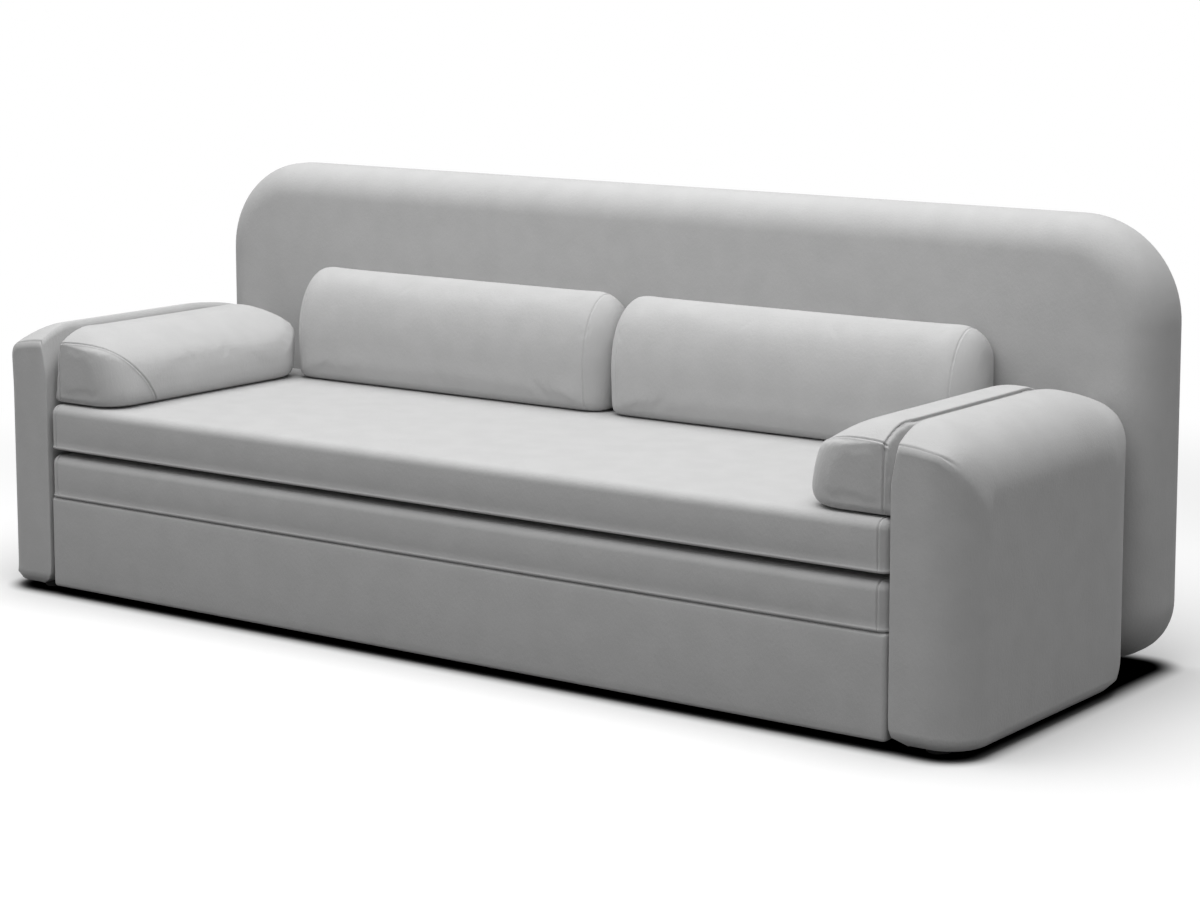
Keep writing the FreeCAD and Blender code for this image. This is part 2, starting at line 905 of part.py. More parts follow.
def bed_mid_beam():
    y0 = bed_middle - mid_beam_width / 2
    y1 = bed_middle + mid_beam_width / 2
    return with_bed_holes(box(-bed_inner, bed_inner, y0, y1, beam_bottom, bed_frame_top))


def bed_slats():
    half = bed_slat_width / 2
    holes = bed_screws_and_holes(countersunk_hole)
    ends = (bed_frame_front, bed_frame_rear, bed_frame_top, mattress_bottom)
    return [box(middle - half, middle + half, *ends).cut(holes) for middle in slat_middles()]


def castor_screws():
    seat_height = bed_bottom - fork_plate_thickness
    offsets = (-fork_screw_offset, fork_screw_offset)
    return [
        (Vector(place.x + across, place.y + along, seat_height), ALONG_Z)
        for place in castor_places().values()
        for across in offsets
        for along in offsets
    ]


def castor_screw_holes():
    return [pan_hole(*screw, screw_length) for screw in castor_screws()]


def castor_bearers():
    y0 = bed_frame_front
    y1 = bed_frame_rear - bed_board
    half = bearer_width / 2
    holes = castor_screw_holes()
    return [
        with_bed_holes(box(x - half, x + half, y0, y1, bed_bottom, bearer_top).cut(holes))
        for x in castor_columns().values()
    ]


def axle_at(place, extra_radius=0.0):
    half = wheel_width / 2 + fork_gap + fork_wall
    return rod(place - ALONG_X * half, ALONG_X, axle_radius + extra_radius, 2 * half)


def castor_fork(place):
    top = bed_bottom - fork_plate_thickness
    half_plate = fork_plate / 2
    plate = box(
        place.x - half_plate,
        place.x + half_plate,
        place.y - half_plate,
        place.y + half_plate,
        top,
        bed_bottom,
    )
    half = fork_width / 2
    corners = [
        (place.y - half, place.z - half),
        (place.y + half, place.z - half),
        (place.y + half, top),
        (place.y - half, top),
    ]
    radii = [fork_foot_radius, fork_foot_radius, 0, 0]
    reach = wheel_width / 2 + fork_gap
    starts = (place.x - reach - fork_wall, place.x + reach)
    cheeks = [side_plate(corners, radii, x0, x0 + fork_wall) for x0 in starts]
    return plate.fuse(cheeks).removeSplitter().cut([axle_at(place)] + castor_screw_holes())


def rolling_wheel(place, radius, width, edge_radius, bore_radius):
    """A wheel that lies across X, with rounded tread edges and a bore."""
    start = place - ALONG_X * (width / 2)
    wheel = rod(start, ALONG_X, radius, width)
    rims = [edge for edge in wheel.Edges if edge.BoundBox.XLength < FLAT]
    return wheel.makeFillet(edge_radius, rims).cut(rod(start, ALONG_X, bore_radius, width))


def castor_wheel(place):
    bore_radius = axle_radius + running_fit
    wheel = rolling_wheel(place, wheel_radius, wheel_width, wheel_edge_radius, bore_radius)
    recess_starts = (-wheel_width / 2, wheel_width / 2 - wheel_recess)
    recesses = [
        sleeve(place + ALONG_X * x, ALONG_X, wheel_rim_radius, wheel_hub_radius, wheel_recess)
        for x in recess_starts
    ]
    return wheel.cut(recesses)


def guide_roller():
    bore_radius = roller_pin_radius + running_fit
    return rolling_wheel(roller_middle, roller_radius, roller_width, roller_edge_radius, bore_radius)


def roller_bracket_screws():
    """Screws of the right bracket, one above and one below its middle, behind the side board."""
    x = bed_side + bracket_thickness
    y = roller_middle.y - bracket_size / 2
    offset = bracket_size / 2 - bracket_edge
    return [(Vector(x, y, roller_middle.z + side * offset), -ALONG_X) for side in (-1, 1)]


def roller_bracket_holes():
    return [pan_hole(*screw, screw_length) for screw in roller_bracket_screws()]


def roller_bracket():
    """A plate on the bed's side board with the pin that the guide roller turns on."""
    y1 = roller_middle.y + bracket_edge
    plate = box(
        bed_side,
        bed_side + bracket_thickness,
        y1 - bracket_size,
        y1,
        roller_middle.z - bracket_size / 2,
        roller_middle.z + bracket_size / 2,
    )
    start = Vector(bed_side, roller_middle.y, roller_middle.z)
    length = roller_middle.x + roller_width / 2 - bed_side
    pin = rod(start, ALONG_X, roller_pin_radius, length)
    return plate.fuse(pin).removeSplitter().cut(roller_bracket_holes())


def rear_buffer():
    height = (bearer_top + bed_frame_top) / 2
    start = Vector(bed_side - buffer_inset, bed_frame_rear, height)
    return rod(start, ALONG_Y, buffer_radius, bed_rear_gap - buffer_gap)


def bed_mattress():
    rear = back_front - mattress_rear_gap
    return flat_cushion(
        front, rear, mattress_bottom, mattress_top, mattress_edge_radius, mattress_crown
    )


def back_bolster_section(x, distance):
    """One section of the right back bolster, at a distance from its nearer end."""
    front_side = back_front - bolster_gap - back_bolster_depth
    front_side += round_inset(distance, bolster_front_round)
    rear = back_front - bolster_gap - round_inset(distance, bolster_rear_round)
    bottom = seat_top + rest_gap + round_inset(distance, bolster_bottom_round)
    top = seat_top + rest_gap + back_bolster_height - round_inset(distance, bolster_top_round)
    across = (rear - front_side) / back_bolster_depth
    upward = (top - bottom) / back_bolster_height

    def point(inset, height):
        return Vector(x, front_side + inset * across, bottom + height * upward)

    depth = back_bolster_depth
    heel = bolster_heel_radius
    toe = bolster_toe_inset
    front_low = point(toe, bolster_foot_radius)
    chest = point(bolster_chest_inset, bolster_chest_height)
    peak = point(bolster_peak_inset, back_bolster_height)
    rear_high = point(depth, bolster_rear_height)
    rear_low = point(depth, heel)
    bottom_rear = point(depth - heel, 0)
    bottom_front = point(toe + bolster_foot_radius, 0)
    return Part.Wire(
        [
            arc(front_low, point(0, bolster_belly_height), chest),
            arc(chest, point(bolster_brow_inset, bolster_brow_height), peak),
            arc(peak, point(bolster_nape_inset, bolster_nape_height), rear_high),
            line(rear_high, rear_low),
            corner_arc(rear_low, point(depth, 0), bottom_rear),
            line(bottom_rear, bottom_front),
            corner_arc(bottom_front, point(toe, 0), front_low),
        ]
    )


def back_bolster():
    """The right back bolster: a round-topped cushion with puffed ends that stands on the seat."""
    x0 = bolster_gap
    x1 = half_bed - back_bolster_end
    distances = [bolster_top_round * share for share in (0.0, 0.06, 0.22, 0.5, 1.0)]
    places = [(x0 + distance, distance) for distance in distances]
    places += [(x1 - distance, distance) for distance in reversed(distances)]
    return Part.makeLoft([back_bolster_section(*place) for place in places], True, True)


def arm_bolster_section(y, share):
    bottom = seat_top + rest_gap
    inner = arm_inner - arm_bolster_gap
    outer = inner - arm_bolster_width
    shoulder = (
        bottom + arm_bolster_side_height,
        blended(arm_bolster_side_radius, arm_bolster_end_side_radius, share),
        blended(arm_bolster_side_turn, arm_bolster_end_side_turn, share),
    )
    feet = (arm_bolster_foot_radius, arm_bolster_foot_radius)
    top = bottom + arm_bolster_height - arm_bolster_end_drop * share
    lean = (arm_bolster_lean, arm_bolster_lean_height)
    return padded_section(y, outer, inner, bottom, top, *lean, feet, shoulder)


def arm_bolster():
    """The right arm bolster: a padded wedge whose front turns in along a quarter circle."""
    y0 = front + arm_bolster_setback
    y1 = y0 + arm_bolster_length
    x1 = arm_inner - arm_bolster_gap
    x0 = x1 - arm_bolster_width
    padding = padded_form(y0, y1, arm_bolster_end_length, arm_bolster_section)
    plan = plan_plate(
        [(x0, y0), (x1, y0), (x1, y1), (x0, y1)],
        [arm_bolster_front_radius, 0, 0, arm_bolster_rear_radius],
        seat_top,
        seat_top + rest_gap + arm_bolster_height,
    )
    return padding.common(plan)


def write(name, solids):
    shape = solids[0] if len(solids) == 1 else Part.makeCompound(solids)
    shape.exportStep("parts/" + name + ".step")


def write_sides(name, solid):
    write(name + "_right", [solid])
    write(name + "_left", [mirrored(solid)])


def write_back_and_arms():
    write("back_upholstery", [back_upholstery()])
    write("back_front_board", [back_front_board()])
    write("back_rear_board", [back_rear_board()])
    write("back_rails", back_rails())
    write("back_posts", back_posts())
    write_sides("arm_upholstery", arm_upholstery())
    write_sides("arm_inner_board", arm_inner_board())
    write_sides("arm_outer_board", arm_outer_board())
    write("arm_end_boards", both_sides(arm_end_boards()))
    write("arm_rails", both_sides(arm_rails()))
    write("arm_bolts", both_sides(arm_bolts()))
    write("arm_bolt_spacers", both_sides(arm_bolt_spacers()))
    write("arm_bolt_nuts", both_sides(arm_bolt_nuts()))
    write("floor_glides", both_sides(floor_glides()))


def write_seat():
    write("seat_upholstery", [seat_upholstery()])
    write("seat_long_rails", seat_long_rails())
    write("seat_side_rails", both_sides([seat_side_rail()]))
    write("seat_cross_rails", seat_cross_rails())
    write("seat_slats", seat_slats())
    write("seat_slat_holders", seat_slat_holders())
    write_sides("seat_angle", seat_angle())
    screws = [countersunk_screw(*screw, screw_length) for screw in seat_angle_screws()]
    write("seat_angle_screws", both_sides(screws))
    write_sides("guide_rail", guide_rail())
    rail_screws = [pan_screw(*screw, screw_length) for screw in guide_rail_screws()]
    write("guide_rail_screws", both_sides(rail_screws))


def write_bed():
    write("bed_front_upholstery", [bed_front_upholstery()])
    write("bed_front_board", [bed_front_board()])
    write_sides("bed_side_board", bed_side_board())
    write("bed_rear_board", [bed_rear_board()])
    write("bed_ledger", [bed_ledger()])
    write("bed_mid_beam", [bed_mid_beam()])
    write("bed_slats", bed_slats())
    write("bed_screws", bed_screws_and_holes(countersunk_screw))
    write("bed_mattress", [bed_mattress()])
    write("rear_buffers", both_sides([rear_buffer()]))
    places = castor_places()
    write("castor_bearers", castor_bearers())
    write("castor_forks", [castor_fork(place) for place in places.values()])
    write("castor_axles", [axle_at(place) for place in places.values()])
    write("castor_screws", [pan_screw(*screw, screw_length) for screw in castor_screws()])
    for name, place in places.items():
        write("castor_wheel_" + name, [castor_wheel(place)])
    write("roller_brackets", both_sides([roller_bracket()]))
    bracket_screws = [pan_screw(*screw, screw_length) for screw in roller_bracket_screws()]
    write("roller_bracket_screws", both_sides(bracket_screws))
    write_sides("guide_roller", guide_roller())


def write_bolsters():
    write_sides("back_bolster", back_bolster())
    write_sides("arm_bolster", arm_bolster())


os.makedirs("parts", exist_ok=True)
write_back_and_arms()
write_seat()
write_bed()
write_bolsters()
print("The bed rolls out", round(bed_travel, 3), "mm")
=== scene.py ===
import math

import bmesh
import bpy
import numpy as np
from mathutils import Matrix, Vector


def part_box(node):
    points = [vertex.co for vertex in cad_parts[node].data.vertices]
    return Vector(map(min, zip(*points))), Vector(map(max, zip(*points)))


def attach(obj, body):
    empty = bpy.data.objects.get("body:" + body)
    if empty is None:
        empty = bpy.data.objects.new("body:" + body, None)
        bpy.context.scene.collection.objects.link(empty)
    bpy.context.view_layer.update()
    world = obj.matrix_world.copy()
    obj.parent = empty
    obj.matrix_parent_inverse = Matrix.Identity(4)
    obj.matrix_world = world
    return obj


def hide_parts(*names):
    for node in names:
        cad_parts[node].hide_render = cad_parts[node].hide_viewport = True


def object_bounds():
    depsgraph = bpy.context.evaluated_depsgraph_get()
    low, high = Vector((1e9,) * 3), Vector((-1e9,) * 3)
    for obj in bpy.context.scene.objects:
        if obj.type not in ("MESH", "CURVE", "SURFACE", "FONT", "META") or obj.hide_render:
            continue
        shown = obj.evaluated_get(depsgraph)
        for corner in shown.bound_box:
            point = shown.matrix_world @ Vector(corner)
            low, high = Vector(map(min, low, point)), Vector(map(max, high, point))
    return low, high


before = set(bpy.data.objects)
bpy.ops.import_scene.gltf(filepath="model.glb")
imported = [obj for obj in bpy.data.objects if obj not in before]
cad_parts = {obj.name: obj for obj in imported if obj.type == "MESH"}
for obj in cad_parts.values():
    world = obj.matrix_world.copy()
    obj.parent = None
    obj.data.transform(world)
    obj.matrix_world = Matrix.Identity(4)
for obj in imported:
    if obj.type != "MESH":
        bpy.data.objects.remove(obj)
cad_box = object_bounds()
scene = bpy.context.scene

# Lengths are in millimetres, and finished() brings each piece to metres
mm = 0.001
grid_step = 14.0
wide_step = 28.0
cut_snap = 0.02

ALONG_X = Vector((1, 0, 0))
ALONG_Y = Vector((0, 1, 0))
ALONG_Z = Vector((0, 0, 1))

# The sewn lines: distance across the line, and how far the cover stands out there
seam_profile = (
    (-7.0, 0.0),
    (-4.6, 0.25),
    (-3.0, 0.5),
    (-1.7, -0.4),
    (-0.8, -1.6),
    (0.0, -2.3),
    (0.8, -1.5),
    (1.8, 0.0),
    (3.2, 0.9),
    (4.8, 0.5),
    (7.0, 0.0),
)
edge_seam_profile = (
    (-8.0, 0.0),
    (-6.2, 0.4),
    (-4.8, -0.3),
    (-3.6, -2.0),
    (-2.4, -3.0),
    (-1.2, -1.6),
    (0.0, 0.8),
    (1.2, 1.5),
    (2.4, 1.2),
    (3.6, 0.6),
    (4.8, 0.2),
    (6.5, 0.0),
)
faint_seam_profile = (
    (-5.0, 0.0),
    (-2.8, 0.2),
    (-1.4, -0.2),
    (0.0, -1.1),
    (1.4, -0.1),
    (2.8, 0.4),
    (5.0, 0.0),
)
welt_profile = (
    (-4.0, 0.0),
    (-2.8, 0.5),
    (-1.4, 1.5),
    (0.0, 2.0),
    (1.4, 1.5),
    (2.8, 0.5),
    (4.0, 0.0),
)


def node_box(node):
    low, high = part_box(node)
    return Vector(low) / mm, Vector(high) / mm


def smooth_step(value):
    value = min(max(value, 0.0), 1.0)
    return value * value * (3 - 2 * value)


def round_inset(distance, radius):
    """How far a quarter round of this radius draws a side in, at a distance from the end."""
    if distance >= radius:
        return 0.0
    return radius - math.sqrt(radius**2 - (radius - distance) ** 2)


def even_places(low, high, step, near_ends=()):
    """Places from low to high: some near both ends, and even steps between them."""
    reach = near_ends[-1] if near_ends else 0.0
    count = max(1, round((high - low - 2 * reach) / step))
    places = [low + reach + (high - low - 2 * reach) * i / count for i in range(count + 1)]
    starts = [low + distance for distance in near_ends[:-1]]
    ends = [high - distance for distance in reversed(near_ends[:-1])]
    return starts + places + ends


def cut_across(bm, normal, places):
    for place in places:
        bmesh.ops.bisect_plane(
            bm,
            geom=bm.verts[:] + bm.edges[:] + bm.faces[:],
            dist=cut_snap,
            plane_co=normal * place,
            plane_no=normal,
        )


def block(low, high):
    bm = bmesh.new()
    bmesh.ops.create_cube(bm, size=1.0)
    bmesh.ops.translate(bm, vec=(0.5, 0.5, 0.5), verts=bm.verts)
    bmesh.ops.scale(bm, vec=high - low, verts=bm.verts)
    bmesh.ops.translate(bm, vec=low, verts=bm.verts)
    return bm


def gridded_block(x_places, y_places, z_places):
    low = Vector((x_places[0], y_places[0], z_places[0]))
    high = Vector((x_places[-1], y_places[-1], z_places[-1]))
    bm = block(low, high)
    for normal, places in ((ALONG_X, x_places), (ALONG_Y, y_places), (ALONG_Z, z_places)):
        cut_across(bm, normal, places[1:-1])
    return bm


def rounded_edges(bm, edges, radius, segments):
    bmesh.ops.bevel(
        bm,
        geom=edges,
        offset=radius,
        offset_type="OFFSET",
        affect="EDGES",
        segments=segments,
        profile=0.5,
        material=-1,
        clamp_overlap=False,
    )


def edges_between(bm, axis, sign):
    """The rim of the flat end that faces along an axis."""
    rim = []
    for edge in bm.edges:
        facing = [sign * face.normal[axis] > 0.99 for face in edge.link_faces]
        if sum(facing) == 1:
            rim.append(edge)
    return rim


def press(bm, normal, place, profile, where=None, bend=None, strength=1.0):
    """Sews a line round a form, where a plane cuts it. bend curves that plane: it gives how far
    a point's part of the plane lies along the normal. where gives the share of the line's depth."""

    def bent(sign):
        if bend:
            for vert in bm.verts:
                vert.co += normal * sign * bend(vert.co)

    bent(-1)
    cut_across(bm, normal, [place + distance for distance, _ in profile])
    distances = {vert: vert.co.dot(normal) - place for vert in bm.verts}
    bent(1)
    bm.normal_update()
    offsets, heights = zip(*profile)
    moves = []
    for vert, distance in distances.items():
        if offsets[0] < distance < offsets[-1]:
            share = where(vert.co) if where else 1.0
            height = float(np.interp(distance, offsets, heights))
            moves.append((vert, vert.normal * height * share * strength))
    for vert, move in moves:
        vert.co += move


def finished(name, bm, material):
    """The piece as an object in metres, with its faces outwards."""
    bmesh.ops.scale(bm, vec=(mm, mm, mm), verts=bm.verts)
    bmesh.ops.recalc_face_normals(bm, faces=bm.faces)
    mesh = bpy.data.meshes.new(name)
    bm.to_mesh(mesh)
    bm.free()
    mesh.shade_smooth()
    mesh.materials.append(material)
    piece = bpy.data.objects.new(name, mesh)
    scene.collection.objects.link(piece)
    return piece


def other_side(bm):
    turned = bm.copy()
    bmesh.ops.scale(turned, vec=(-1, 1, 1), verts=turned.verts)
    bmesh.ops.reverse_faces(turned, faces=turned.faces)
    return turned


def remeshed(bm, voxel):
    """The form with even faces, small enough for cloth."""
    draft = bpy.data.meshes.new("draft")
    bm.to_mesh(draft)
    holder = bpy.data.objects.new("draft", draft)
    scene.collection.objects.link(holder)
    remesh = holder.modifiers.new("remesh", "REMESH")
    remesh.mode = "VOXEL"
    remesh.voxel_size = voxel
    remesh.use_smooth_shade = True
    even = mesh_with_modifiers(holder)
    bpy.data.objects.remove(holder)
    bpy.data.meshes.remove(draft)
    return even


def mesh_with_modifiers(piece):
    depsgraph = bpy.context.evaluated_depsgraph_get()
    return bpy.data.meshes.new_from_object(piece.evaluated_get(depsgraph))


def vertex_places(mesh):
    places = np.empty(len(mesh.vertices) * 3)
    mesh.vertices.foreach_get("co", places)
    return places.reshape(-1, 3)


cloth_pressure = 4.0
cloth_frames = 20


def swollen(bm, voxel, reach, freedom):
    """Fills a form as cloth under pressure. No point moves further than reach times what
    freedom gives for its place, so the form stays flat where it rests."""
    bmesh.ops.scale(bm, vec=(mm, mm, mm), verts=bm.verts)
    even = remeshed(bm, voxel * mm)
    bm.free()
    start = vertex_places(even)
    filled = start
    cushion = bpy.data.objects.new("filling", even)
    scene.collection.objects.link(cushion)
    cloth = cushion.modifiers.new("cloth", "CLOTH")
    cloth.settings.use_pressure = True
    cloth.settings.uniform_pressure_force = cloth_pressure
    cloth.settings.effector_weights.gravity = 0.0
    cloth.point_cache.frame_start = 1
    cloth.point_cache.frame_end = cloth_frames
    for step in range(1, cloth_frames + 1):
        scene.frame_set(step)
    result = mesh_with_modifiers(cushion)
    filled = vertex_places(result)
    bpy.data.objects.remove(cushion)
    bpy.data.meshes.remove(result)
    scene.frame_set(1)
    moved = filled - start
    length = np.linalg.norm(moved, axis=1)
    limit = np.array([reach * mm * freedom(Vector(place) / mm) for place in start])
    scale = np.minimum(1.0, limit / np.maximum(length, 1e-9))
    even.vertices.foreach_set("co", (start + moved * scale[:, None]).ravel())
    shaped = bpy.data.objects.new("shaped", even)
    scene.collection.objects.link(shaped)
    subdivision = shaped.modifiers.new("subdivision", "SUBSURF")
    subdivision.levels = 1
    subdivision.render_levels = 1
    smooth = mesh_with_modifiers(shaped)
    bpy.data.objects.remove(shaped)
    bpy.data.meshes.remove(even)
    bm = bmesh.new()
    bm.from_mesh(smooth)
    bpy.data.meshes.remove(smooth)
    bmesh.ops.scale(bm, vec=(1 / mm, 1 / mm, 1 / mm), verts=bm.verts)
    return bm


# Camera
camera_place = (3.4334, -4.5443, 1.3910)
camera_pitch = 7.774
camera_yaw = 35.859
camera_lens = 87.896
camera_shift = (-0.018, -0.12)

camera = bpy.data.objects.new("camera", bpy.data.cameras.new("camera"))
scene.collection.objects.link(camera)
camera.location = camera_place
camera.rotation_euler = (math.radians(90 - camera_pitch), 0, math.radians(camera_yaw))
camera.data.sensor_width = 36.0
camera.data.lens = camera_lens
camera.data.shift_x, camera.data.shift_y = camera_shift
camera.data.clip_end = 100.0
scene.camera = camera


def new_material(name):
    material = bpy.data.materials.new(name)
    material.use_nodes = True
    nodes = material.node_tree.nodes
    shader = nodes["Principled BSDF"]
    place = nodes.new("ShaderNodeTexCoord").outputs["Object"]
    return material, shader, place


def stretched(material, place, scale, tilt=0.0):
    """The place, with its lengths scaled, and turned about y by tilt in degrees."""
    mapping = material.node_tree.nodes.new("ShaderNodeMapping")
    mapping.inputs["Scale"].default_value = scale
    mapping.inputs["Rotation"].default_value = (0, math.radians(tilt), 0)
    material.node_tree.links.new(place, mapping.inputs["Vector"])
    return mapping.outputs["Vector"]


def noise(material, place, scale, detail=2.0, roughness=0.5, distortion=0.0):
    texture = material.node_tree.nodes.new("ShaderNodeTexNoise")
    texture.inputs["Scale"].default_value = scale
    texture.inputs["Detail"].default_value = detail
    texture.inputs["Roughness"].default_value = roughness
    texture.inputs["Distortion"].default_value = distortion
    material.node_tree.links.new(place, texture.inputs["Vector"])
    return texture.outputs["Fac"]


def coloured(material, shader, value, low, high, low_at=0.35, high_at=0.65):
    ramp = material.node_tree.nodes.new("ShaderNodeValToRGB")
    ramp.color_ramp.elements[0].position = low_at
    ramp.color_ramp.elements[1].position = high_at
    ramp.color_ramp.elements[0].color = (*low, 1)
    ramp.color_ramp.elements[1].color = (*high, 1)
    material.node_tree.links.new(value, ramp.inputs["Fac"])
    material.node_tree.links.new(ramp.outputs["Color"], shader.inputs["Base Color"])


def bumped(material, height, distance, strength=1.0, under=None):
    bump = material.node_tree.nodes.new("ShaderNodeBump")
    bump.inputs["Strength"].default_value = strength
    bump.inputs["Distance"].default_value = distance
    material.node_tree.links.new(height, bump.inputs["Height"])
    if under:
        material.node_tree.links.new(under, bump.inputs["Normal"])
    return bump.outputs["Normal"]


def finish_shader(material, shader, normal, roughness, metallic=0.0):
    shader.inputs["Roughness"].default_value = roughness
    shader.inputs["Metallic"].default_value = metallic
    material.node_tree.links.new(normal, shader.inputs["Normal"])
    return material


def upholstery_fabric():
    """A matt light grey woven fabric with a fine brushed grain."""
    material, shader, place = new_material("upholstery_fabric")
    grain = noise(material, stretched(material, place, (1.0, 1.0, 0.55), 35.0), 230, 3, 0.55)
    patches = noise(material, place, 18, 2)
    coloured(material, shader, patches, (0.455, 0.455, 0.455), (0.475, 0.475, 0.475))
    weave = noise(material, place, 1300, 1)
    soft = bumped(material, weave, 0.0003, 0.5)
    normal = bumped(material, grain, 0.0009, 0.6, soft)
    shader.inputs["Sheen Weight"].default_value = 0.15
    shader.inputs["Sheen Roughness"].default_value = 0.5
    shader.inputs["Specular IOR Level"].default_value = 0.2
    return finish_shader(material, shader, normal, 0.9)


def sawn_board(name, grain_scale, low, high, roughness):
    """Wood or board: long grain, darker lines in it, and a dull surface."""
    material, shader, place = new_material(name)
    grain = noise(material, stretched(material, place, grain_scale), 14, 5, 0.6, 0.6)
    coloured(material, shader, grain, low, high, 0.3, 0.7)
    pores = noise(material, stretched(material, place, grain_scale), 90, 3)
    return finish_shader(material, shader, bumped(material, pores, 0.0006, 0.5), roughness)


def pressed_fibreboard():
    material, shader, place = new_material("pressed_fibreboard")
    flecks = noise(material, place, 420, 4, 0.7)
    coloured(material, shader, flecks, (0.17, 0.095, 0.04), (0.27, 0.16, 0.075), 0.4, 0.6)
    return finish_shader(material, shader, bumped(material, flecks, 0.0004, 0.4), 0.7)


def coated_metal(name, low, high, roughness, metallic, scale, depth):
    """Metal with a coat that is slightly uneven: enamel or zinc plating."""
    material, shader, place = new_material(name)
    cloud = noise(material, place, scale, 3)
    coloured(material, shader, cloud, low, high)
    skin = noise(material, place, scale * 12, 2)
    normal = bumped(material, skin, depth, 0.4)
    return finish_shader(material, shader, normal, roughness, metallic)


def moulded(name, low, high, roughness):
    """Plastic or rubber from a mould with a finely eroded surface."""
    material, shader, place = new_material(name)
    cloud = noise(material, place, 60, 3)
    coloured(material, shader, cloud, low, high)
    eroded = noise(material, place, 1800, 2)
    return finish_shader(material, shader, bumped(material, eroded, 0.0003, 0.5), roughness)


# The darker and the lighter colour of each material
pine_colours = ((0.42, 0.26, 0.12), (0.56, 0.38, 0.2))
birch_colours = ((0.56, 0.41, 0.23), (0.66, 0.51, 0.31))
enamel_colours = ((0.008, 0.008, 0.009), (0.014, 0.014, 0.015))
zinc_colours = ((0.5, 0.51, 0.53), (0.62, 0.63, 0.65))
grey_nylon_colours = ((0.036, 0.036, 0.039), (0.046, 0.046, 0.05))
black_nylon_colours = ((0.01, 0.01, 0.01), (0.016, 0.016, 0.016))
rubber_colours = ((0.007, 0.007, 0.007), (0.012, 0.012, 0.012))

finishes = {
    "frame_wood": sawn_board("planed_pine", (1.0, 1.0, 6.0), *pine_colours, 0.6),
    "birch_slats": sawn_board("bent_birch", (7.0, 1.0, 7.0), *birch_colours, 0.45),
    "fibreboard": pressed_fibreboard(),
    "frame_steel": coated_metal("black_enamel", *enamel_colours, 0.4, 0.0, 30, 0.0004),
    "zinc_steel": coated_metal("zinc_plating", *zinc_colours, 0.35, 1.0, 90, 0.0001),
    "wheel_plastic": moulded("grey_nylon", *grey_nylon_colours, 0.45),
    "black_plastic": moulded("black_nylon", *black_nylon_colours, 0.5),
    "buffer_rubber": moulded("black_rubber", *rubber_colours, 0.8),
}


def finish_inner_pieces():
    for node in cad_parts.values():
        for slot in node.material_slots:
            if slot.material.name in finishes:
                slot.material = finishes[slot.material.name]
    # The tubes between the arms and the back are blacked, because their ends can be seen there
    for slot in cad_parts["arm_bolt_spacers"].material_slots:
        slot.material = finishes["frame_steel"]


finish_inner_pieces()
fabric = upholstery_fabric()


# Flat pads: the seat, the mattress and the bed's front
flat_pad_end_cut = 30.0
flat_pad_height_cut = 20.0
seat_edge_radius = 17.0
seat_foot_radius = 6.0
seat_swell = 3.0
seat_end_seam = 19.0
seat_seam_fade = 8.0
seat_welt_height = 4.5
seat_welt_width = 16.0
bed_front_end_radius = 9.0
bed_front_edge_radius = 7.0
bed_front_swell = 2.0


def flat_pad(node, end_radius, top_radius, foot_radius, top_crown, front_crown):
    """A flat foam pad: rounded ends and edges, a low crown on top and a soft front."""
    low, high = node_box(node)
    high.z -= top_crown
    low.y += front_crown
    bm = block(low, high)
    corners = [edge for edge in bm.edges if abs((edge.verts[0].co - edge.verts[1].co).z) > 1]
    rounded_edges(bm, corners, end_radius, 6)
    bm.normal_update()
    rounded_edges(bm, edges_between(bm, 2, 1), top_radius, 6)
    bm.normal_update()
    rounded_edges(bm, edges_between(bm, 2, -1), foot_radius, 4)
    cut_across(bm, ALONG_X, even_places(low.x, high.x, wide_step, (flat_pad_end_cut,)))
    cut_across(bm, ALONG_Y, even_places(low.y, high.y, wide_step, (flat_pad_end_cut,)))
    cut_across(bm, ALONG_Z, even_places(low.z, high.z, grid_step, (flat_pad_height_cut,)))
    middle = (low + high) / 2
    half = (high - low) / 2
    for vert in bm.verts:
        across = (vert.co.x - middle.x) / half.x
        along = (vert.co.y - middle.y) / half.y
        upward = (vert.co.z - middle.z) / half.z
        top_share = max(0.0, 1 - across**8) * max(0.0, 1 - along**4) * smooth_step(upward)
        front_share = max(0.0, 1 - across**16) * max(0.0, 1 - upward**2) * smooth_step(-along)
        vert.co.z += top_crown * top_share
        vert.co.y -= front_crown * front_share
    return bm, low, high


def seat_pad(node):
    bm, low, high = flat_pad(
        node, seat_edge_radius, seat_edge_radius, seat_foot_radius, seat_swell, seat_swell
    )

    def above_foot(co):
        return smooth_step((co.z - low.z) / seat_seam_fade)

    def on_the_rim(co):
        inset = min(co.x - low.x, high.x - co.x, co.y - low.y, high.y - co.y)
        return 1.0 if inset < seat_welt_width else 0.0

    for place in (low.x + seat_end_seam, high.x - seat_end_seam):
        press(bm, ALONG_X, place, seam_profile, above_foot)
    press(bm, ALONG_Z, low.z + seat_welt_height, welt_profile, on_the_rim)
    return bm


def seat_cover():
    return finished("seat_cover", seat_pad("seat_upholstery"), fabric)


def bed_mattress_cover():
    return finished("bed_mattress_cover", seat_pad("bed_mattress"), fabric)


def bed_front_cover():
    bm, _, _ = flat_pad(
        "bed_front_upholstery",
        bed_front_end_radius,
        bed_front_edge_radius,
        bed_front_edge_radius,
        0.0,
        bed_front_swell,
    )
    return finished("bed_front_cover", bm, fabric)


# The back
back_top_radius = 195.0
back_bottom_radius = 110.0
back_edge_radius = 70.0
back_fall = 4.0
back_fall_width = 260.0
back_seam_place = 16.0


